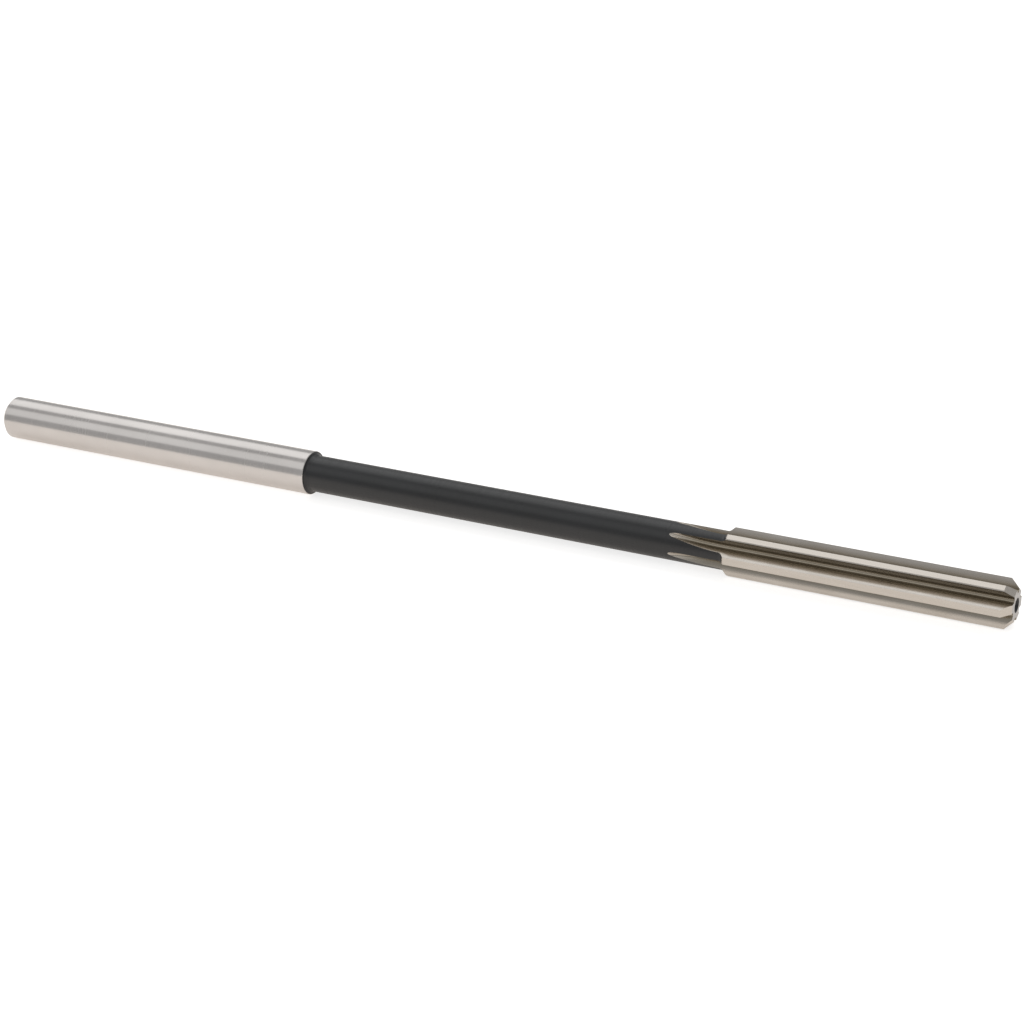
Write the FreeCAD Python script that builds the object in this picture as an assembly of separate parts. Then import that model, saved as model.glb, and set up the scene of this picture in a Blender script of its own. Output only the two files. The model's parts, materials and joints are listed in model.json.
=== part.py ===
"""Machine reamer: a straight-shank, straight-flute chucking reamer, ground from one bar of steel.

Millimetres. The tool lies along X with its cutting end towards +X, and rests on the plane Z = 0.
It is built in the tool's own frame, where X runs from the back of the shank along the tool's axis,
and is moved to its resting place at the very end.
"""

import FreeCAD, Part
import math
import os

Vector = FreeCAD.Vector

# --- Lengths along the tool ---------------------------------------------------------------
overall_length = 152.4
shank_length = 52.4            # back end to the step down to the neck
cutting_length = 38.1          # foot of the front shoulder to the tip

# --- Diameters ----------------------------------------------------------------------------
cutting_diameter = 6.35        # across the margins, the size that the tool reams
shank_diameter = 6.109         # a little under the cutting size, so it can follow through the hole
neck_diameter = 5.09

# --- Turned details -----------------------------------------------------------------------
shank_end_chamfer = 0.6        # 45 degrees, at the back of the shank
shank_edge_break = 0.08        # 45 degrees, where the ground shank meets the step
neck_fillet = 0.45             # root of the step from shank to neck
shoulder_angle = 45.0          # of the cone from the neck up to the cutting diameter
shoulder_fillet = 0.7          # root of that cone
shoulder_edge_break = 0.07     # 45 degrees off the cone's own slope, at its outer corner

# --- Centre holes, one in each end, 60 degrees included --------------------------------------
centre_mouth_diameter = 1.9
centre_pilot_diameter = 0.8
centre_pilot_depth = 0.9       # straight hole beyond the countersink
centre_included_angle = 60.0
centre_drill_point_angle = 118.0

# --- Teeth ----------------------------------------------------------------------------------
tooth_count = 6
land_angle = 16.25             # from a cutting edge back to its heel, about the axis
flute_corner_depth = 1.681     # from the cutting diameter to the flute's sharp inner corner
flute_corner_radius = 0.25     # rounding of that corner
flute_back_radius = 4.7        # hollow of the flute's back, up to the next heel
cutter_diameter = 64.0         # of the form cutter that milled the flutes
flute_straight_from = 1.0      # full depth starts this far in front of the shoulder's foot

# --- Relief ground behind the cutting edges ----------------------------------------------------
margin_width = 0.16            # cylindrical strip left behind each edge
land_relief_angle = 11.0       # of the flat behind the margin, from the margin's tangent
lead_chamfer = 1.1             # 45 degrees, at the tip
lead_relief_angle = 11.0       # of each tooth's chamfer, behind its edge

# --- Worked out from the sizes above -------------------------------------------------------------
shank_radius = shank_diameter / 2
neck_radius = neck_diameter / 2
cutting_radius = cutting_diameter / 2
shoulder_foot = overall_length - cutting_length
tooth_pitch = 360.0 / tooth_count
clear = cutting_radius / 2     # how far the cutting bodies reach past the metal they remove


def profile_face(edges):
    """A flat face inside a closed chain of edges."""
    return Part.Face(Part.Wire(edges))


def line(start, end):
    return Part.LineSegment(start, end).toShape()


def arc(start, middle, end):
    return Part.Arc(start, middle, end).toShape()


def polyline(points):
    """Edges joining the points in turn."""
    return [line(a, b) for a, b in zip(points, points[1:])]


def at(x, radius):
    """A point of a turned profile, drawn in the tool's level plane, from the axis outwards."""
    return Vector(x, radius, 0)


def across(x, centre_radius, angle, radius):
    """A point on a turned fillet's arc, whose centre lies outside the metal. Angle from straight inwards."""
    turn = math.radians(angle)
    return at(x + radius * math.sin(turn), centre_radius - radius * math.cos(turn))


def turned_blank():
    """Shank, neck and cutting cylinder as one turned bar, before milling and grinding."""
    slope = math.radians(shoulder_angle)
    root_fillet_centre = shank_length + neck_fillet
    foot_fillet_radius = neck_radius + shoulder_fillet
    cone_start = across(shoulder_foot, foot_fillet_radius, shoulder_angle, shoulder_fillet)
    cone_rise = cutting_radius - shoulder_edge_break * math.sin(slope) - cone_start.y
    cone_end = at(cone_start.x + cone_rise / math.tan(slope), cone_start.y + cone_rise)
    body_start = at(cone_end.x + shoulder_edge_break, cutting_radius)

    back = polyline([
        at(0, 0),
        at(0, shank_radius - shank_end_chamfer),
        at(shank_end_chamfer, shank_radius),
        at(shank_length - shank_edge_break, shank_radius),
        at(shank_length, shank_radius - shank_edge_break),
        at(shank_length, neck_radius + neck_fillet),
    ])
    root = arc(
        at(shank_length, neck_radius + neck_fillet),
        across(root_fillet_centre, neck_radius + neck_fillet, -45, neck_fillet),
        at(root_fillet_centre, neck_radius),
    )
    neck = line(at(root_fillet_centre, neck_radius), at(shoulder_foot, neck_radius))
    foot = arc(
        at(shoulder_foot, neck_radius),
        across(shoulder_foot, foot_fillet_radius, shoulder_angle / 2, shoulder_fillet),
        cone_start,
    )
    front = polyline([
        cone_start,
        cone_end,
        body_start,
        at(overall_length, cutting_radius),
        at(overall_length, 0),
        at(0, 0),
    ])
    profile = profile_face(back + [root, neck, foot] + front)
    return profile.revolve(Vector(0, 0, 0), Vector(1, 0, 0), 360)


def centre_hole(end_x, inwards):
    """A centre-drilled hole: countersink, straight pilot and drill point. Inwards is +1 or -1 along X."""
    mouth = centre_mouth_diameter / 2
    pilot = centre_pilot_diameter / 2
    sink_depth = (mouth - pilot) / math.tan(math.radians(centre_included_angle / 2))
    point_depth = pilot / math.tan(math.radians(centre_drill_point_angle / 2))
    pilot_end = sink_depth + centre_pilot_depth
    depths = [(-clear, 0), (-clear, mouth), (0, mouth), (sink_depth, pilot),
              (pilot_end, pilot), (pilot_end + point_depth, 0), (-clear, 0)]
    profile = profile_face(polyline([at(end_x + inwards * depth, r) for depth, r in depths]))
    return profile.revolve(Vector(0, 0, 0), Vector(1, 0, 0), 360)


def flute_section(x):
    """Section of one flute across the tool. Its straight side is radial and lies along +Y: it is the rake
    face. The corner is rounded, and the hollow back rises to the heel of the tooth in front."""
    heel_angle = math.radians(tooth_pitch - land_angle)
    heel = Vector(x, cutting_radius * math.cos(heel_angle), cutting_radius * math.sin(heel_angle))
    corner = Vector(x, cutting_radius - flute_corner_depth, 0)

    # The hollow back is an arc from the sharp corner to the heel, with its centre on the flute's side.
    chord = heel - corner
    inward = Vector(0, chord.z, -chord.y).normalize()
    bulge = math.sqrt(flute_back_radius ** 2 - (chord.Length / 2) ** 2)
    back_centre = corner + chord * 0.5 + inward * bulge

    # The corner's rounding touches the rake face and the inside of that arc.
    reach = flute_back_radius - flute_corner_radius
    sideways = math.sqrt(reach ** 2 - (flute_corner_radius - back_centre.z) ** 2)
    round_centre = Vector(x, back_centre.y - sideways, flute_corner_radius)
    on_rake = Vector(x, round_centre.y, 0)
    to_back = (round_centre - back_centre).normalize()
    on_back = back_centre + to_back * flute_back_radius
    on_round = round_centre + (Vector(0, 0, -1) + to_back).normalize() * flute_corner_radius

    def back_point(angle):
        return back_centre + Vector(0, math.cos(angle), math.sin(angle)) * flute_back_radius

    start_angle = math.atan2(on_back.z - back_centre.z, on_back.y - back_centre.y) % (2 * math.pi)
    end_angle = math.atan2(heel.z - back_centre.z, heel.y - back_centre.y) % (2 * math.pi)
    end_angle -= clear / flute_back_radius
    back_end = back_point(end_angle)
    outside = Vector(x, cutting_radius + clear, 0)
    edges = [
        line(outside, on_rake),
        arc(on_rake, on_round, on_back),
        arc(on_back, back_point((start_angle + end_angle) / 2), back_end),
        line(back_end, Vector(x, outside.y, back_end.z)),
        line(Vector(x, outside.y, back_end.z), outside),
    ]
    root_radius = math.hypot(round_centre.y, round_centre.z) - flute_corner_radius
    return profile_face(edges), root_radius


def flute_cutter():
    """What the form cutter removes for one flute: a straight run to the tip, and the round runout that the
    cutter leaves where it stops, rising out through the shoulder and the neck."""
    stop = shoulder_foot + flute_straight_from
    section, root_radius = flute_section(stop)
    straight = section.extrude(Vector(overall_length + clear - stop, 0, 0))
    cutter_radius = cutter_diameter / 2
    axis_point = Vector(stop, root_radius + cutter_radius, 0)
    lift = cutting_radius + clear - root_radius
    sweep = math.degrees(math.acos(1 - lift / cutter_radius))
    runout = section.revolve(axis_point, Vector(0, 0, 1), sweep)
    if runout.CenterOfMass.x > stop:
        runout = section.revolve(axis_point, Vector(0, 0, -1), sweep)
    return straight.fuse(runout)


def land_relief():
    """The sliver ground off one land behind its margin. The cutting edge lies along +Y, the tooth below it."""
    margin_angle = -margin_width / cutting_radius
    edge = Vector(0, math.cos(margin_angle), math.sin(margin_angle)) * cutting_radius
    fall = margin_angle - math.radians(land_relief_angle)
    backwards = Vector(0, math.sin(fall), -math.cos(fall))
    outwards = Vector(0, math.cos(fall), math.sin(fall))
    start = Vector(shoulder_foot, 0, 0)
    corners = [start + edge, start + edge + backwards * 2 * clear,
               start + edge + (backwards * 2 + outwards) * clear, start + edge + outwards * clear]
    face = profile_face(polyline(corners + corners[:1]))
    return face.extrude(Vector(cutting_length + clear, 0, 0))


def lead_relief():
    """The block ground off one tooth's tip. Its face holds the sloping cutting edge and falls away behind."""
    edge_back = Vector(overall_length - lead_chamfer, cutting_radius, 0)
    along = Vector(1, -1, 0).normalize()
    outwards = Vector(1, 1, 0).normalize()
    relief = math.radians(lead_relief_angle)
    backwards = Vector(0, 0, -math.cos(relief)) - outwards * math.sin(relief)
    normal = outwards * math.cos(relief) - Vector(0, 0, math.sin(relief))
    reach = lead_chamfer * math.sqrt(2) + clear
    ahead = lead_chamfer * math.sin(relief)     # covers the tooth's outer corner, where the block leans back
    first = edge_back - along * clear - backwards * ahead
    last = edge_back + along * reach - backwards * ahead
    block = profile_face(polyline([first, last, last + normal * reach, first + normal * reach, first]))
    return block.extrude(backwards * (ahead + clear))


def resting_turn():
    """The angle of one cutting edge about the axis, from +Y towards +Z, as the tool lies: this edge and the
    heel of the next tooth, which is a little lower than the edge, touch the surface below together."""
    relief = math.radians(land_relief_angle)
    past_middle = math.radians(land_angle) - margin_width / cutting_radius - relief
    heel_radius = cutting_radius * math.cos(relief) / math.cos(past_middle)
    flute_angle = math.radians(tooth_pitch - land_angle)
    tangent = (cutting_radius / heel_radius - math.cos(flute_angle)) / math.sin(flute_angle)
    return -90.0 - math.degrees(math.atan(tangent))


def around(shape):
    """The shape once for each tooth, turned as the tool comes to rest on a flat surface."""
    copies = []
    for tooth in range(tooth_count):
        copy = shape.copy()
        copy.rotate(Vector(0, 0, 0), Vector(1, 0, 0), resting_turn() + tooth * tooth_pitch)
        copies.append(copy)
    return copies


def reamer():
    tool = turned_blank()
    tool = tool.cut([centre_hole(0, 1), centre_hole(overall_length, -1)])
    tool = tool.cut(around(land_relief()))
    tool = tool.cut(around(lead_relief()))
    tool = tool.cut(around(flute_cutter()))
    tool = tool.removeSplitter()
    tool.translate(Vector(-overall_length / 2, 0, shank_radius))
    return tool


def main():
    os.makedirs("parts", exist_ok=True)
    tool = reamer()
    box = tool.optimalBoundingBox()
    print("solids", len(tool.Solids), "valid", tool.isValid(), "volume", round(tool.Volume, 2))
    print("box", [round(v, 4) for v in (box.XMin, box.XMax, box.YMin, box.YMax, box.ZMin, box.ZMax)])
    tool.exportStep("parts/reamer.step")


main()
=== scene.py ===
import json
import math

import bpy
from mathutils import Matrix, Vector


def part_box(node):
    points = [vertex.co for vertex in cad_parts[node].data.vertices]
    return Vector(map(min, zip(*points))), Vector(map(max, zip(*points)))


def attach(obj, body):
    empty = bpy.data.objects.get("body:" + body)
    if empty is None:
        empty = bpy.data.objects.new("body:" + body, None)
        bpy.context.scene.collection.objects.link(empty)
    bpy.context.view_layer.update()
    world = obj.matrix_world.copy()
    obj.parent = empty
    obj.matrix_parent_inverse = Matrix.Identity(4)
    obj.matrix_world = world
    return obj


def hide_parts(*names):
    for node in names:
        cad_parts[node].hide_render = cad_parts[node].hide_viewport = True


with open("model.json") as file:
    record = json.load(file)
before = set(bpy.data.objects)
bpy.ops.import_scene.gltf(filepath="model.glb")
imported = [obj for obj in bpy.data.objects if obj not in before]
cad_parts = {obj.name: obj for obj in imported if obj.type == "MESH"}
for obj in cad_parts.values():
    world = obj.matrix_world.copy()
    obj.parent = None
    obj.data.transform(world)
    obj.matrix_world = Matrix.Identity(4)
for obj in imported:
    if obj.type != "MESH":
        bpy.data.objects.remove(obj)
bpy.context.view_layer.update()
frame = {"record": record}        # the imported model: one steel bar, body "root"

low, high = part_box("reamer")
mm = 0.001
print("frame loaded, tool length in mm:", round((high.x - low.x) / mm, 2))


# sizes in millimetres, places along the tool measured from the back of the shank
reamer = {
    "length": (high.x - low.x) / mm,
    "shankRadius": frame["record"]["mounts"][0]["dims"]["r_mm"],        # what a collet grips
    "shankLength": 52.4,
    "shankEndChamfer": 0.6,
    "shankEdgeBreak": 0.08,
    "neckRadius": 2.545,
    "neckFillet": 0.45,        # root of the step from shank to neck
    "shoulderFoot": 114.3,        # foot of the cone up to the cutting diameter
    "shoulderAngle": 45.0,
    "shoulderFillet": 0.7,        # root of that cone
    "shoulderEdgeBreak": 0.07,
    "groundFrom": 115.03,        # grinding the lands also took the black off the top of the cone
    "cuttingRadius": 3.175,
    "leadChamfer": 1.1,
    "centreMouth": 0.95,        # radii of the centre hole in each end
    "centrePilot": 0.4,
    "centrePilotDepth": 0.9,
    "centreHalfAngle": 30.0,
    "drillHalfAngle": 59.0,
}

teeth = {
    "count": 6,
    "landAngle": 16.25,        # from a cutting edge back to its heel
    "marginWidth": 0.16,        # round strip behind the edge
    "reliefAngle": 11.0,        # of the flat behind the margin, and of the chamfer behind its edge
    "rootRadius": 1.546,        # nearest the flute comes to the axis
    "cornerRadius": 0.4,        # of the flute's inner corner
    "backRadius": 3.0,        # of its back, which bulges outwards up to the heel
    "cutterRadius": 32.0,        # form cutter that milled the flutes and left their runouts
    "cutterStop": 115.3,        # full depth from here to the tip
    "longestRunout": 20.0,        # the runout's tip is looked for no further back than this
    "rakeReach": 1.3,        # the rake face is drawn out to this many cutting radii, outside the bar
    "pastHeel": 0.25,        # and the back this far round its own arc past the heel, in radians
    "flattest": 1.2,        # radians: past this the land's flat is no longer followed round
}

grid = {        # faces across the sector, and stations along it
    "margin": 3,
    "land": 17,
    "rake": 9,
    "corner": 12,
    "back": 20,
    "shank": 14,
    "neck": 22,
    "runout": 36,
    "runoutCrowding": 1.7,        # stations stand closer together towards the runout's tip
    "straight": 26,
    "straightGap": (0.5, 0.3),        # kept clear of its evenly spaced stations, at each end of the lands
    "fillet": 6,
    "lead": 8,
    "beside": 0.05,        # a loop this near a corner keeps the long faces' shading true
    "closest": 0.01,        # stations nearer than this are one
    "point": 1e-5,        # a drill point's radius, small but not nothing
    "halvings": 46,        # steps of the search for a border
    "perPart": 400,        # tries for the flute's deepest place, along each part of its form
    "deepTries": 601,        # and in all, from its corner on
    "decimals": 6,        # of a millimetre, to which two points are one
}

pitch = math.radians(360 / teeth["count"])
landAngle = math.radians(teeth["landAngle"])
marginAngle = teeth["marginWidth"] / reamer["cuttingRadius"]
relief = math.radians(teeth["reliefAngle"])
slope = math.radians(reamer["shoulderAngle"])
leadStart = reamer["length"] - reamer["leadChamfer"]


def shoulderMarks():        # where the fillet ends, the cone ends and the full cutting diameter starts
    r = reamer
    filletEnd = r["shoulderFoot"] + r["shoulderFillet"] * math.sin(slope)
    coneFoot = r["neckRadius"] + r["shoulderFillet"] * (1 - math.cos(slope))
    coneTop = r["cuttingRadius"] - r["shoulderEdgeBreak"] * math.sin(slope)
    coneEnd = filletEnd + (coneTop - coneFoot) / math.tan(slope)
    return filletEnd, coneFoot, coneEnd, coneTop, coneEnd + r["shoulderEdgeBreak"]


filletEnd, coneFoot, coneEnd, coneTop, bodyStart = shoulderMarks()


def profileRadius(x):        # of the turned bar in front of the step
    r = reamer
    if x <= r["shoulderFoot"]:
        return r["neckRadius"]
    if x < filletEnd:
        rise = math.sqrt(r["shoulderFillet"] ** 2 - (x - r["shoulderFoot"]) ** 2)
        return r["neckRadius"] + r["shoulderFillet"] - rise
    if x < coneEnd:
        return coneFoot + (x - filletEnd) * math.tan(slope)
    share = min(1.0, (x - coneEnd) / (bodyStart - coneEnd))
    return coneTop + (r["cuttingRadius"] - coneTop) * share


# angle 0 is a cutting edge: its tooth lies behind it, and the flute in front of it
def landRadius(angle):        # of the land behind the edge: a round margin, then a flat
    behind = -angle - marginAngle
    if behind <= 0:
        return reamer["cuttingRadius"]
    return reamer["cuttingRadius"] * math.cos(relief) / math.cos(min(behind - relief, teeth["flattest"]))


def leadRadius(x, angle):        # of the lead chamfer's flat, which falls away behind its edge
    reach = reamer["cuttingRadius"] + leadStart - x
    return reach / (math.cos(angle) - math.sqrt(2) * math.tan(relief) * math.sin(angle))


def outerRadius(x, angle):        # of the outside of the tooth
    radius = profileRadius(x)
    if x > reamer["shoulderFoot"]:
        radius = min(radius, landRadius(angle), leadRadius(x, angle))
    return radius


def fluteForm():        # the cutter's form: rake face, corner rounding and bulging back
    corner, back = teeth["cornerRadius"], teeth["backRadius"]
    roundCentre = Vector((math.sqrt((teeth["rootRadius"] + corner) ** 2 - corner ** 2), corner))
    heelAngle = pitch - landAngle
    heel = Vector((math.cos(heelAngle), math.sin(heelAngle))) * reamer["cuttingRadius"]
    across = heel - roundCentre        # the back's arc touches the rounding and ends at the heel
    along = ((back + corner) ** 2 - back ** 2 + across.length_squared) / (2 * across.length)
    aside = math.sqrt((back + corner) ** 2 - along ** 2)
    unit = across.normalized()
    backCentre = roundCentre + unit * along + Vector((-unit.y, unit.x)) * aside
    touch, rim = roundCentre - backCentre, heel - backCentre
    return {
        "rakeTop": reamer["cuttingRadius"] * teeth["rakeReach"],
        "roundCentre": roundCentre,
        "backCentre": backCentre,
        "touchAngle": math.atan2(touch.y, touch.x),
        "endAngle": math.atan2(rim.y, rim.x) + teeth["pastHeel"],
    }


flute = fluteForm()


def aroundPoint(centre, radius, angle):
    return centre + Vector((math.cos(angle), math.sin(angle))) * radius


def formPoint(s):        # along the cutter's form: 0 to 1 rake face, 1 to 2 corner, 2 to 3 back
    if s <= 1:
        return Vector((flute["rakeTop"] + (flute["roundCentre"].x - flute["rakeTop"]) * s, 0))
    if s <= 2:
        start, end = 1.5 * math.pi, flute["touchAngle"] + math.pi        # from the rake face to the back
        return aroundPoint(flute["roundCentre"], teeth["cornerRadius"], start + (end - start) * (s - 1))
    turn = flute["touchAngle"] + (flute["endAngle"] - flute["touchAngle"]) * (s - 2)
    return aroundPoint(flute["backCentre"], teeth["backRadius"], turn)


def flutePoint(x, s):        # that form where the round cutter lifts out, behind its stop
    point = formPoint(s)
    axis = teeth["rootRadius"] + teeth["cutterRadius"]
    behind = max(0.0, teeth["cutterStop"] - x)
    return Vector((axis - math.sqrt((axis - point.x) ** 2 - behind ** 2), point.y))


def border(test, inside, outside):        # the place between the two where the test stops holding
    for _ in range(grid["halvings"]):
        middle = (inside + outside) / 2
        if test(middle):
            inside = middle
        else:
            outside = middle
    return inside


def deepest(x):        # the lowest place of the flute, nearest the axis
    tries = [1 + i / grid["perPart"] for i in range(grid["deepTries"])]
    return min(tries, key=lambda s: flutePoint(x, s).length)


def withinHeel(x):
    def test(s):
        point = flutePoint(x, s)
        return point.length < outerRadius(x, math.atan2(point.y, point.x) - pitch)
    return test


runoutTip = border(lambda x: flutePoint(x, deepest(x)).length < reamer["neckRadius"],
                   teeth["cutterStop"], teeth["cutterStop"] - teeth["longestRunout"])
print("the runout's tip is at", round(runoutTip, 2))
print("and the cutting diameter starts at", round(bodyStart, 2))


# the sector is one tooth and one flute, from the back of the shank to the tip
def landAngles(x, first, last):        # the columns' angles, from one flute to the next
    count = grid["land"] + grid["margin"]
    even = [first + (last - first) * j / count for j in range(count + 1)]
    toMargin = [first + (-marginAngle - first) * j / grid["land"] for j in range(grid["land"])]
    toMargin += [-marginAngle * (1 - j / grid["margin"]) for j in range(grid["margin"] + 1)]
    blend = min(1.0, max(0.0, (x - runoutTip) / (reamer["shoulderFoot"] - runoutTip)))
    return [a + (b - a) * blend for a, b in zip(even, toMargin)]


def roundRow(x, radius):        # a full round station, where there is no flute
    corner = flutePoint(runoutTip, deepest(runoutTip))
    last = math.atan2(corner.y, corner.x)
    row = [(x, radius * math.cos(a), radius * math.sin(a)) for a in landAngles(0, last - pitch, last)]
    return row + row[-1:] * (grid["rake"] + grid["corner"] + grid["back"])


def toothRow(x, heelX=None, leans=None):        # a fluted station; leans shifts it along the land
    heelX = x if heelX is None else heelX
    root = deepest(x)
    start = border(lambda s: flutePoint(x, s).length < outerRadius(x, 0), root, 0)
    end = border(withinHeel(heelX), root, 3)
    edge, heel = flutePoint(x, start), flutePoint(heelX, end)
    angles = landAngles(x, math.atan2(heel.y, heel.x) - pitch, math.atan2(edge.y, edge.x))
    row = []
    for j, angle in enumerate(angles):
        here = leans[j] if leans else x
        radius = outerRadius(here, angle)
        row.append((here, radius * math.cos(angle), radius * math.sin(angle)))
    joins = [start, min(max(1, start), end), min(max(2, start), end), end]
    total, done = grid["rake"] + grid["corner"] + grid["back"], 0
    for part, name in enumerate(("rake", "corner", "back")):
        for j in range(1, grid[name] + 1):
            done += 1
            here = x + (heelX - x) * done / total
            point = flutePoint(here, joins[part] + (joins[part + 1] - joins[part]) * j / grid[name])
            row.append((here, point.x, point.y))
    return row


def spread(first, last, count):        # evenly spaced values, both ends included
    return [first + (last - first) * i / count for i in range(count + 1)]


def holeProfile(inwards, endX):        # the centre hole from its mouth to the drill point, as (x, radius)
    r = reamer
    sink = (r["centreMouth"] - r["centrePilot"]) / math.tan(math.radians(r["centreHalfAngle"]))
    bottom = sink + r["centrePilotDepth"]
    point = bottom + r["centrePilot"] / math.tan(math.radians(r["drillHalfAngle"]))
    depths = [(0, r["centreMouth"]), (sink, r["centrePilot"]), (bottom, r["centrePilot"]), (point, 0)]
    return [(endX + inwards * depth, radius) for depth, radius in depths]


def barRows():        # stations up to the runout: row, finish of the faces ahead, crease
    r, near = reamer, grid["beside"]
    rows = [(roundRow(x, max(radius, grid["point"])), "blackOxide" if x else "facedEnd", True)
            for x, radius in reversed(holeProfile(1, 0))]
    rows.append((roundRow(0, r["shankRadius"] - r["shankEndChamfer"]), "groundShank", True))
    rows.append((roundRow(r["shankEndChamfer"], r["shankRadius"]), "groundShank", True))
    shankEnd = r["shankLength"] - r["shankEdgeBreak"]
    for x in spread(r["shankEndChamfer"] + near, shankEnd - near, grid["shank"]):
        rows.append((roundRow(x, r["shankRadius"]), "groundShank", False))
    rows.append((roundRow(shankEnd, r["shankRadius"]), "groundShank", True))
    rows.append((roundRow(r["shankLength"], r["shankRadius"] - r["shankEdgeBreak"]), "blackOxide", True))
    for turn in spread(math.pi / 2, 0, grid["fillet"]):
        x = r["shankLength"] + r["neckFillet"] * (1 - math.sin(turn))
        radius = r["neckRadius"] + r["neckFillet"] * (1 - math.cos(turn))
        rows.append((roundRow(x, radius), "blackOxide", False))
    for x in spread(r["shankLength"] + r["neckFillet"] + near, runoutTip - near, grid["neck"]):
        rows.append((roundRow(x, r["neckRadius"]), "blackOxide", False))
    rows.append((roundRow(runoutTip, r["neckRadius"]), "blackOxide", False))
    return rows


def toothRows():        # stations from the runout to the tip
    foot, near = reamer["shoulderFoot"], grid["beside"]
    length, (before, after) = teeth["cutterStop"] - runoutTip, grid["straightGap"]
    shares, turns = spread(0, 1, grid["runout"])[1:], spread(0, slope, grid["fillet"])
    places = {runoutTip + length * share ** grid["runoutCrowding"] for share in shares}
    places |= {foot - near}
    places |= {foot + reamer["shoulderFillet"] * math.sin(turn) for turn in turns}
    places |= {reamer["groundFrom"], coneEnd, bodyStart, bodyStart + near, bodyStart + 2 * near}
    places |= set(spread(bodyStart + before, leadStart - after, grid["straight"]))
    rows, last = [], runoutTip
    for x in sorted(places):
        if x - last < grid["closest"] and x not in (reamer["groundFrom"], coneEnd, bodyStart):
            continue
        kind = "groundLand" if x >= reamer["groundFrom"] else "blackOxide"
        rows.append((toothRow(x), kind, x in (coneEnd, bodyStart)))
        last = x
    return rows


def leadRows():        # the chamfer, whose crease leans back a little across each relieved land
    angles = landAngles(leadStart, -landAngle, 0)
    back, ahead = leadStart - reamer["leadChamfer"] / 2, leadStart + 2 * grid["beside"]
    crease = [border(lambda x: leadRadius(x, a) > landRadius(a), back, ahead) for a in angles]
    rows = []
    for share in spread(0, 1, grid["lead"]):
        leans = [x + (reamer["length"] - x) * share for x in crease]
        row = toothRow(leans[-1], leans[0], leans)
        rows.append((row, "facedEnd" if share == 1 else "groundLand", share in (0, 1)))
    return rows


finishes = ["groundShank", "blackOxide", "milledFlute", "groundLand", "facedEnd"]


def buildSector():
    points, index, faces, kinds, creases = [], {}, [], [], set()

    def vertex(point):        # one number for each place, so that the collapsed columns share theirs
        key = tuple(round(v, grid["decimals"]) for v in point)
        if key not in index:
            index[key] = len(points)
            points.append([v * mm for v in point])
        return index[key]

    def face(corners, kind):
        kept = [v for i, v in enumerate(corners) if v != corners[i - 1]]
        if len(set(kept)) > 2:
            faces.append(kept)
            kinds.append(finishes.index(kind))

    rows = barRows() + toothRows() + leadRows()
    numbers = [[vertex(p) for p in row] for row, _, _ in rows]
    landColumns = grid["land"] + grid["margin"]
    for i in range(len(rows) - 1):
        a, b = numbers[i], numbers[i + 1]
        for j in range(len(a) - 1):
            kind = rows[i][1] if j < landColumns else "milledFlute"
            face([a[j], a[j + 1], b[j + 1], b[j]], kind)
        if a[landColumns] != a[-1] or b[landColumns] != b[-1]:        # fluted here
            creases |= {frozenset((a[j], b[j])) for j in (0, landColumns, len(a) - 1)}
            if rows[i][0][0][0] >= bodyStart:
                creases.add(frozenset((a[grid["land"]], b[grid["land"]])))
    for i, (row, _, crease) in enumerate(rows):
        if crease:
            last = len(row) - 1 if rows[i][1] == "facedEnd" else landColumns
            creases |= {frozenset((numbers[i][j], numbers[i][j + 1])) for j in range(last)}

    outline, tip = rows[-1][0], numbers[-1]        # the end face, and the centre hole in it
    first = math.atan2(outline[0][2], outline[0][1])
    turns = spread(first, first + pitch, landColumns)
    hole = [[vertex((x, radius * math.cos(a), radius * math.sin(a))) for a in turns]
            for x, radius in holeProfile(-1, reamer["length"])]
    face(tip + hole[0][::-1], "facedEnd")
    for a, b in zip(hole, hole[1:]):
        for j in range(landColumns):
            face([a[j], a[j + 1], b[j + 1], b[j]], "blackOxide")
            creases.add(frozenset((a[j], a[j + 1])))

    mesh = bpy.data.meshes.new("sector")
    mesh.from_pydata(points, [], faces)
    mesh.update()
    mesh.attributes.new("finish", "INT", "FACE").data.foreach_set("value", kinds)
    for edge in mesh.edges:
        edge.use_edge_sharp = frozenset(edge.vertices) in creases
    mesh.shade_smooth()
    return mesh


def addNode(tree, kind, settings=None, links=None):        # a node with its settings and links
    node = tree.nodes.new(kind)
    for name, value in (settings or {}).items():
        if name in node.inputs.keys() or isinstance(name, int):
            node.inputs[name].default_value = value
        else:
            setattr(node, name, value)
    for name, source in (links or {}).items():
        tree.links.new(source, node.inputs[name])
    return node


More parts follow.
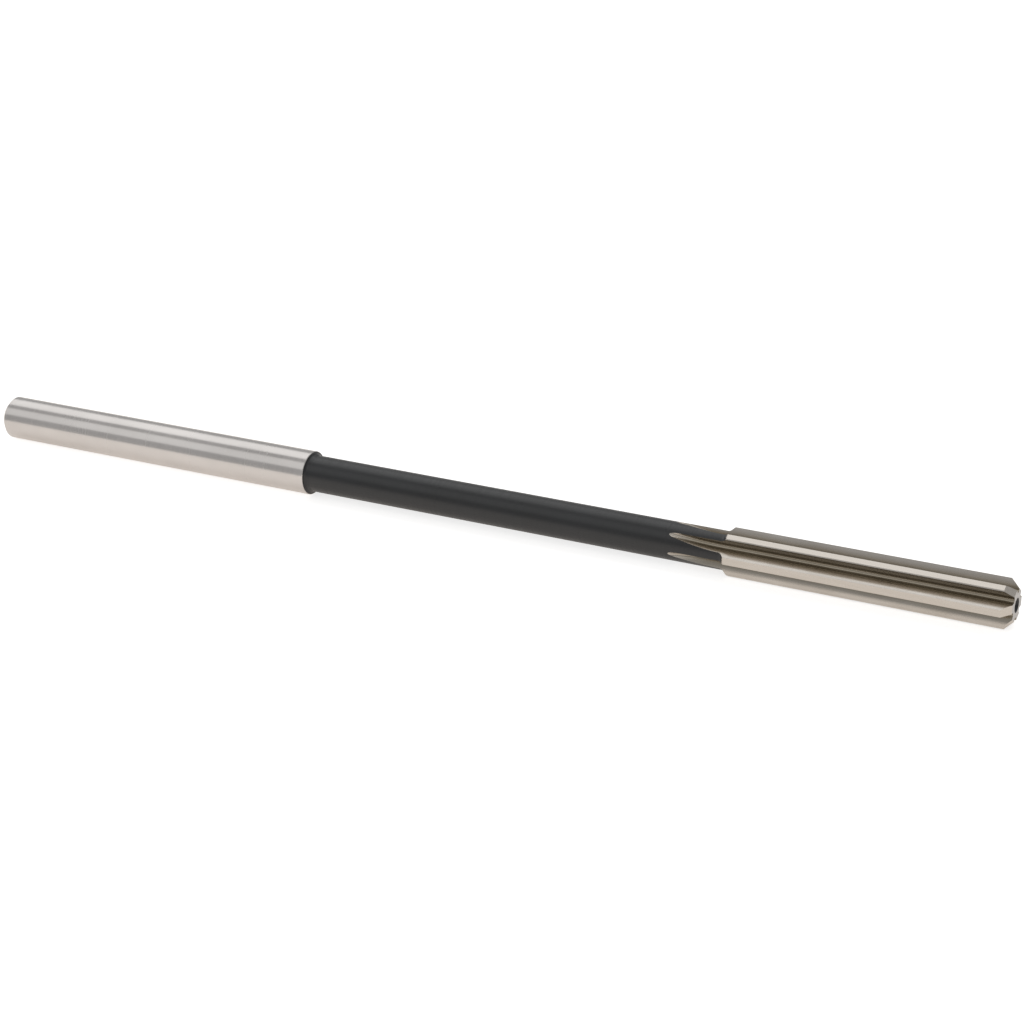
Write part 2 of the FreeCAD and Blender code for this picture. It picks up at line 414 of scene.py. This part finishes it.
def toothTree():        # repeats the sector round the axis and gives each surface its finish
    tree = bpy.data.node_groups.new("teethRoundTheAxis", "GeometryNodeTree")
    sockets = tree.interface
    sockets.new_socket("Sector", in_out="INPUT", socket_type="NodeSocketGeometry")
    sockets.new_socket("Teeth", in_out="INPUT", socket_type="NodeSocketInt")
    sockets.new_socket("Seam width", in_out="INPUT", socket_type="NodeSocketFloat")
    for name in finishes:
        sockets.new_socket(name, in_out="INPUT", socket_type="NodeSocketMaterial")
    sockets.new_socket("Geometry", in_out="OUTPUT", socket_type="NodeSocketGeometry")

    given = addNode(tree, "NodeGroupInput").outputs
    points = addNode(tree, "GeometryNodePoints", links={"Count": given["Teeth"]})
    place = addNode(tree, "GeometryNodeInputIndex")
    step = addNode(tree, "ShaderNodeMath", {"operation": "DIVIDE", 0: 2 * math.pi}, {1: given["Teeth"]})
    turn = addNode(tree, "ShaderNodeMath", {"operation": "MULTIPLY"}, {
        0: place.outputs[0], 1: step.outputs[0]})
    rotation = addNode(tree, "ShaderNodeCombineXYZ", links={"X": turn.outputs[0]})
    copies = addNode(tree, "GeometryNodeInstanceOnPoints", links={
        "Points": points.outputs[0], "Instance": given["Sector"], "Rotation": rotation.outputs[0]})
    real = addNode(tree, "GeometryNodeRealizeInstances", links={0: copies.outputs[0]})
    whole = addNode(tree, "GeometryNodeMergeByDistance", links={
        0: real.outputs[0], "Distance": given["Seam width"]})
    kind = addNode(tree, "GeometryNodeInputNamedAttribute", {"data_type": "INT", "Name": "finish"})
    geometry = whole.outputs[0]
    for number, name in enumerate(finishes):
        same = addNode(tree, "FunctionNodeCompare", {"data_type": "INT", "operation": "EQUAL"})
        tree.links.new(kind.outputs[0], same.inputs[2])
        same.inputs[3].default_value = number
        painted = addNode(tree, "GeometryNodeSetMaterial", links={
            "Geometry": geometry, "Selection": same.outputs[0], "Material": given[name]})
        geometry = painted.outputs[0]
    addNode(tree, "NodeGroupOutput", links={0: geometry})
    return tree


def restingTurn():        # the angle of one cutting edge as it and the next tooth's heel lie on the floor
    ratio = reamer["cuttingRadius"] / landRadius(-landAngle)
    gap = pitch - landAngle
    return -math.pi / 2 - math.atan((ratio - math.cos(gap)) / math.sin(gap))


seamWidth = 0.0005 * mm        # columns of neighbouring sectors this close become one


def makeTool(materials):
    source = bpy.data.objects.new("sector", buildSector())
    bpy.context.scene.collection.objects.link(source)
    modifier = source.modifiers.new("teeth", "NODES")
    modifier.node_group = toothTree()
    sockets = {item.name: item.identifier for item in modifier.node_group.interface.items_tree
               if item.in_out == "INPUT"}
    modifier[sockets["Teeth"]] = teeth["count"]
    modifier[sockets["Seam width"]] = seamWidth
    for name in finishes:
        modifier[sockets[name]] = materials[name]
    bpy.context.view_layer.update()
    evaluated = source.evaluated_get(bpy.context.evaluated_depsgraph_get())
    mesh = bpy.data.meshes.new_from_object(evaluated)
    source.modifiers.clear()
    bpy.data.objects.remove(source)
    mesh.transform(Matrix.Rotation(restingTurn(), 4, "X"))
    mesh.transform(Matrix.Translation((low.x, 0, reamer["shankRadius"] * mm)))
    mesh.name = "reamerBar"
    tool = bpy.data.objects.new("reamerBar", mesh)
    bpy.context.scene.collection.objects.link(tool)
    return tool


def linear(hexColour):        # sRGB hex to the linear colour that the shader takes
    parts = [int(hexColour[i:i + 2], 16) / 255 for i in (1, 3, 5)]
    return [*(p / 12.92 if p <= 0.04045 else ((p + 0.055) / 1.055) ** 2.4 for p in parts), 1.0]


def newMaterial(name, settings):
    material = bpy.data.materials.new(name)
    material.use_nodes = True
    tree = material.node_tree
    tree.nodes.clear()
    shader = addNode(tree, "ShaderNodeBsdfPrincipled", settings)
    addNode(tree, "ShaderNodeOutputMaterial", links={"Surface": shader.outputs[0]})
    return material, tree, shader


noiseRange = {"From Min": 0.3, "From Max": 0.7}        # nearly all of a noise's values lie in it


def marks(tree, perMm, detail=2.0):        # noise, given as marks per millimetre along X, Y and Z
    place = addNode(tree, "ShaderNodeTexCoord")
    scaled = addNode(tree, "ShaderNodeMapping", {"Scale": [m / mm for m in perMm]},
                     {"Vector": place.outputs["Object"]})
    noise = addNode(tree, "ShaderNodeTexNoise", {"Scale": 1.0, "Detail": detail, "Roughness": 0.6},
                    {"Vector": scaled.outputs[0]})
    return noise.outputs["Fac"]


def withPatches(tree, fine, broad, share):        # this share of fine marks, and broad patches for the rest
    rest = addNode(tree, "ShaderNodeMapRange", {**noiseRange, "To Max": 1 - share}, {"Value": broad})
    both = addNode(tree, "ShaderNodeMath", {"operation": "MULTIPLY_ADD", 1: share},
                   {0: fine, 2: rest.outputs[0]})
    return both.outputs[0]


def fromAxis(tree, near, far):        # 0 this near the tool's axis and 1 this far from it, in mm
    place = addNode(tree, "ShaderNodeTexCoord")
    parts = addNode(tree, "ShaderNodeSeparateXYZ", links={0: place.outputs["Object"]})
    height = addNode(tree, "ShaderNodeMath", {"operation": "SUBTRACT", 1: reamer["shankRadius"] * mm},
                     {0: parts.outputs["Z"]})
    across = addNode(tree, "ShaderNodeCombineXYZ", links={
        "X": parts.outputs["Y"], "Y": height.outputs[0]})
    reach = addNode(tree, "ShaderNodeVectorMath", {"operation": "LENGTH"}, {0: across.outputs[0]})
    share = addNode(tree, "ShaderNodeMapRange", {"From Min": near * mm, "From Max": far * mm},
                    {"Value": reach.outputs["Value"]})
    return share.outputs[0]


# the tone picks between the dark and the light colour, and the fine marks roughen and, if given, bump
def dress(tree, shader, tone, colours, fine, roughness, bump=None):
    dark, light = [linear(c) for c in colours]
    colour = addNode(tree, "ShaderNodeMix", {"data_type": "RGBA", 6: dark, 7: light}, {"Factor": tone})
    smooth, rough = roughness
    sheen = addNode(tree, "ShaderNodeMapRange", {**noiseRange, "To Min": smooth, "To Max": rough},
                    {"Value": fine})
    tree.links.new(colour.outputs[2], shader.inputs["Base Color"])
    tree.links.new(sheen.outputs[0], shader.inputs["Roughness"])
    if bump:
        strength, depth = bump        # the depth is in millimetres
        grooves = addNode(tree, "ShaderNodeBump", {"Strength": strength, "Distance": depth * mm},
                          {"Height": fine})
        tree.links.new(grooves.outputs[0], shader.inputs["Normal"])
    return colour.outputs[2]


def groundShankSteel():        # high-speed steel, centreless ground: bright, with fine rings round it
    material, tree, shader = newMaterial("groundShankSteel", {
        "Metallic": 1.0, "Anisotropic": 0.5, "Anisotropic Rotation": 0.25})
    rings = marks(tree, (3.2, 0.05, 0.05), 3.0)
    tone = withPatches(tree, rings, marks(tree, (0.12, 0.25, 0.25)), 0.45)
    dress(tree, shader, tone, ("#C9C5C2", "#D9D5D2"), rings, (0.2, 0.28), (0.12, 0.004))
    tangent = addNode(tree, "ShaderNodeTangent", {"direction_type": "RADIAL", "axis": "X"})
    tree.links.new(tangent.outputs[0], shader.inputs["Tangent"])
    return material


def blackOxideSteel():        # turned, then steam-oxidised black: a dull gloss over fine turning rings
    material, tree, shader = newMaterial("blackOxideSteel", {"Metallic": 0.0, "IOR": 1.6})
    rings = marks(tree, (3.0, 0.04, 0.04))
    patches = addNode(tree, "ShaderNodeMapRange", noiseRange, {"Value": marks(tree, (0.1, 0.3, 0.3))})
    dress(tree, shader, patches.outputs[0], ("#0C0D10", "#15171B"), rings, (0.3, 0.42), (0.35, 0.01))
    return material


def milledFluteSteel():        # milled: painted shade makes it darker and browner towards the root, and painted light makes it lighter at the heel
    material, tree, shader = newMaterial("milledFluteSteel", {"Metallic": 1.0})
    lines = marks(tree, (0.06, 5.0, 5.0))
    # painted shade: 0 near the axis and 1 out towards the heel, so the flute is painted darker and browner
    # in its root
    paintedLightTowardsHeel = fromAxis(tree, 1.9, 2.95)
    paintedRootShade = dress(tree, shader, paintedLightTowardsHeel, ("#A0988A", "#D2CDC7"), lines, (0.2, 0.3), (0.2, 0.006))
    tone = withPatches(tree, lines, marks(tree, (0.15, 0.5, 0.5)), 0.5)
    dark, light = linear("#E2DFDA"), linear("#FFFFFF")
    streaks = addNode(tree, "ShaderNodeMix", {"data_type": "RGBA", 6: dark, 7: light}, {"Factor": tone})
    # the painted shade, multiplied by random milling streaks
    paintedShadeAndStreaks = addNode(tree, "ShaderNodeMix", {
        "data_type": "RGBA", "blend_type": "MULTIPLY", "Factor": 1.0}, {6: paintedRootShade, 7: streaks.outputs[2]})
    tree.links.new(paintedShadeAndStreaks.outputs[2], shader.inputs["Base Color"])
    return material


def groundLandSteel():        # lands and chamfer, ground sharp: bright and a little grained
    material, tree, shader = newMaterial("groundLandSteel", {"Metallic": 1.0})
    lines = marks(tree, (0.3, 4.0, 4.0))
    dress(tree, shader, lines, ("#C0B9B0", "#D6D0C8"), lines, (0.2, 0.3), (0.15, 0.005))
    return material


def facedEndSteel():        # both ends, faced: duller, with an even grain
    material, tree, shader = newMaterial("facedEndSteel", {"Metallic": 1.0})
    grain = marks(tree, (2.0, 2.0, 2.0), 3.0)
    dress(tree, shader, grain, ("#A6A5A3", "#C8C7C6"), grain, (0.34, 0.46))
    return material


materials = {
    "groundShank": groundShankSteel(),
    "blackOxide": blackOxideSteel(),
    "milledFlute": milledFluteSteel(),
    "groundLand": groundLandSteel(),
    "facedEnd": facedEndSteel(),
}
tool = makeTool(materials)
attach(tool, "root")
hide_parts("reamer")
print("tool made:", len(tool.data.polygons), "faces")


studio = {
    "floorRadius": 3.0,
    "floorSides": 64,
    "floorColour": "#D6D4D2",
    "cameraGlow": 0.75,        # brings the pale floor up to white for the camera, over the light on it
    "steelGlow": 0.5,        # and, a little warmer, for what the steel mirrors
    "warmWhite": "#FFF6EE",
    "roomLevel": 0.45,
    # softboxes parallel to the tool, in metres; turn is the angle round its axis, from the front upwards
    "lamps": [
        {"name": "frontSoftbox", "turn": 53, "distance": 0.9, "middle": -0.35,
         "size": (1.7, 0.62), "level": 0.42},
        {"name": "backSoftbox", "turn": 118, "distance": 0.9, "middle": -0.35,
         "size": (1.7, 0.8), "level": 0.7},
    ],
}


def makeFloor():
    radius, count = studio["floorRadius"], studio["floorSides"]
    turns = [2 * math.pi * i / count for i in range(count)]
    mesh = bpy.data.meshes.new("floor")
    rim = [(radius * math.cos(t), radius * math.sin(t), 0) for t in turns]
    mesh.from_pydata(rim, [], [list(range(count))])
    floor = bpy.data.objects.new("floor", mesh)
    bpy.context.scene.collection.objects.link(floor)
    material = bpy.data.materials.new("paleFloor")
    material.use_nodes = True
    tree = material.node_tree
    tree.nodes.clear()
    matt = addNode(tree, "ShaderNodeBsdfDiffuse", {"Color": linear(studio["floorColour"])})
    ray = addNode(tree, "ShaderNodeLightPath")
    mirrored = addNode(tree, "ShaderNodeMath", {"operation": "ADD", "use_clamp": True},
                       {0: ray.outputs["Is Glossy Ray"], 1: ray.outputs["Is Transmission Ray"]})
    steelLevel = addNode(tree, "ShaderNodeMath", {"operation": "MULTIPLY", 1: studio["steelGlow"]},
                         {0: mirrored.outputs[0]})
    cameraLevel = addNode(tree, "ShaderNodeMath", {"operation": "MULTIPLY", 1: studio["cameraGlow"]},
                          {0: ray.outputs["Is Camera Ray"]})
    warm = addNode(tree, "ShaderNodeEmission", {"Color": linear(studio["warmWhite"])},
                   {"Strength": steelLevel.outputs[0]})
    plain = addNode(tree, "ShaderNodeEmission", {"Color": (1, 1, 1, 1)},
                    {"Strength": cameraLevel.outputs[0]})
    glow = addNode(tree, "ShaderNodeAddShader", links={0: warm.outputs[0], 1: plain.outputs[0]})
    both = addNode(tree, "ShaderNodeAddShader", links={0: matt.outputs[0], 1: glow.outputs[0]})
    addNode(tree, "ShaderNodeOutputMaterial", links={"Surface": both.outputs[0]})
    mesh.materials.append(material)


def makeLamp(lamp):        # a softbox that faces the tool
    turn = math.radians(lamp["turn"])
    light = bpy.data.lights.new(lamp["name"], "AREA")
    light.shape = "RECTANGLE"
    light.size, light.size_y = lamp["size"]
    light.energy = lamp["level"] * math.pi * light.size * light.size_y        # level is how bright it looks
    obj = bpy.data.objects.new(lamp["name"], light)
    away = Vector((0, -math.cos(turn), math.sin(turn)))
    obj.location = away * lamp["distance"] + Vector((lamp["middle"], 0, 0))
    obj.rotation_euler = (math.pi / 2 - turn, 0, 0)
    bpy.context.scene.collection.objects.link(obj)


def makeRoom():
    world = bpy.data.worlds.new("paleRoom")
    bpy.context.scene.world = world
    world.use_nodes = True
    tree = world.node_tree
    tree.nodes.clear()
    ray = addNode(tree, "ShaderNodeLightPath")
    level = addNode(tree, "ShaderNodeMapRange", {
        "To Min": studio["roomLevel"], "To Max": 1.0}, {"Value": ray.outputs["Is Camera Ray"]})
    room = addNode(tree, "ShaderNodeBackground", {"Color": (1, 1, 1, 1)}, {"Strength": level.outputs[0]})
    addNode(tree, "ShaderNodeOutputWorld", links={"Surface": room.outputs[0]})


shot = {        # the camera looks down at the tool from its right, past its tip; millimetres and degrees
    "aim": (7.33, 0.0, 2.79),
    "distance": 314.26,
    "azimuth": 28.52,
    "elevation": 25.52,
    "roll": -2.489,
    "lens": 82.676,
    "sensor": 36.0,
    "nearest": 10.0,
}


def makeCamera():
    data = bpy.data.cameras.new("camera")
    data.lens = shot["lens"]
    data.sensor_width = shot["sensor"]
    data.clip_start = shot["nearest"] * mm
    camera = bpy.data.objects.new("camera", data)
    turn = Matrix.Rotation(math.radians(shot["azimuth"]), 4, "Z")
    turn = turn @ Matrix.Rotation(math.radians(90 - shot["elevation"]), 4, "X")
    back = turn @ Vector((0, 0, 1))
    place = Matrix.Translation(Vector(shot["aim"]) * mm + back * shot["distance"] * mm)
    camera.matrix_world = place @ turn @ Matrix.Rotation(math.radians(shot["roll"]), 4, "Z")
    bpy.context.scene.collection.objects.link(camera)
    bpy.context.scene.camera = camera


makeFloor()
for lamp in studio["lamps"]:
    makeLamp(lamp)
makeRoom()
makeCamera()
bpy.context.scene.view_settings.view_transform = "Standard"
print("floor, lamps and camera set")
